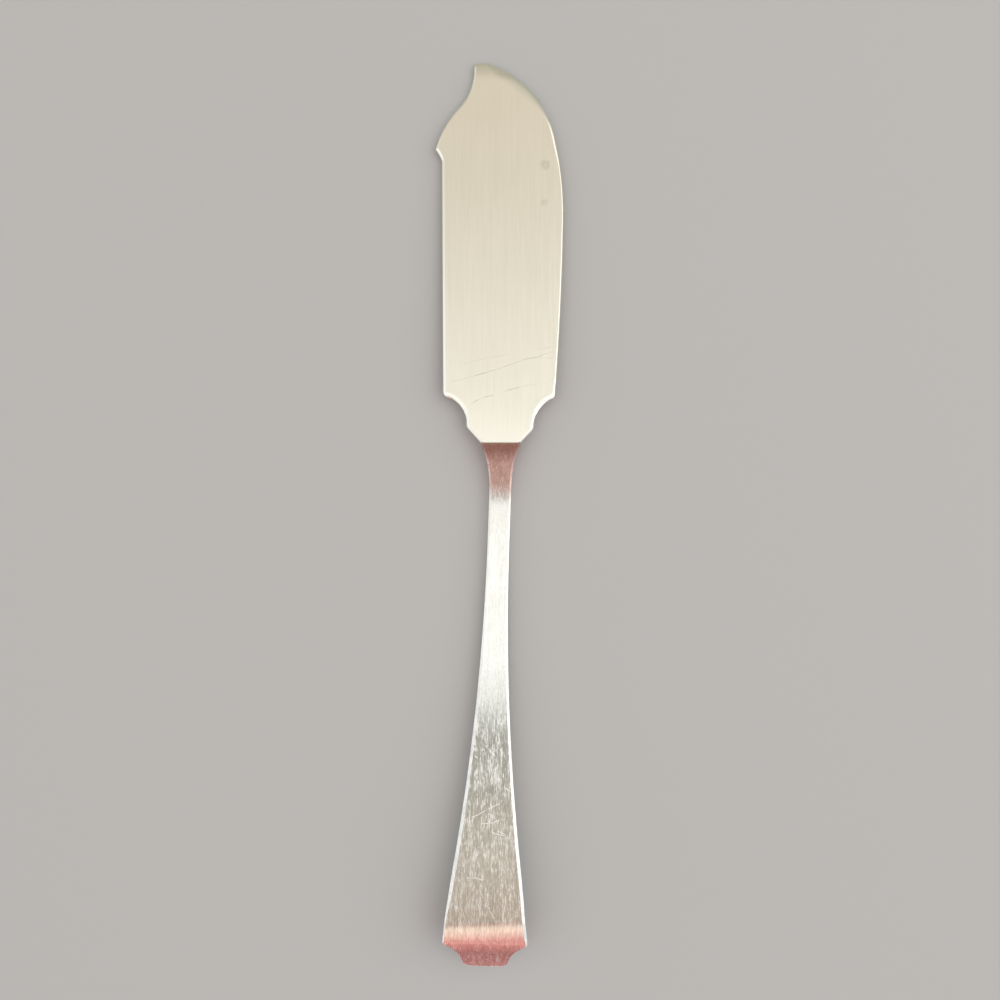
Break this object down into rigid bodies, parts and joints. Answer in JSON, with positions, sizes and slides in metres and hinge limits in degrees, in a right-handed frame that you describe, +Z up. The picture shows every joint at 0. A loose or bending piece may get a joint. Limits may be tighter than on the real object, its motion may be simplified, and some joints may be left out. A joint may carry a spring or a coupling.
{
  "type": "butter spreader",
  "caption": "Flat-handled butter spreader: a hooked, notched sheet blade soldered to a slim bowed handle that flares to a stepped, turned lip.",
  "frame": {"origin": "middle of the bounding box, on the surface that the spreader lies on", "axes": "+Y along the length to the tip of the blade, +X to the cutting edge, +Z up out of the back, in the pose in which the spreader rests back side up on its tip and on the bow of its handle"},
  "size_m": [0.0212, 0.1492, 0.0058],
  "materials": {
    "blade_silver": "satin silver with fine lengthwise brushing",
    "handle_silver": "satin silver, brushed lengthwise and lightly scratched",
    "solder": "dull silver solder, darkened by tarnish"
  },
  "bodies": {
    "root": {"blade": "blade_silver", "handle": "handle_silver", "solder_seam": "solder"}
  },
  "joints": []
}
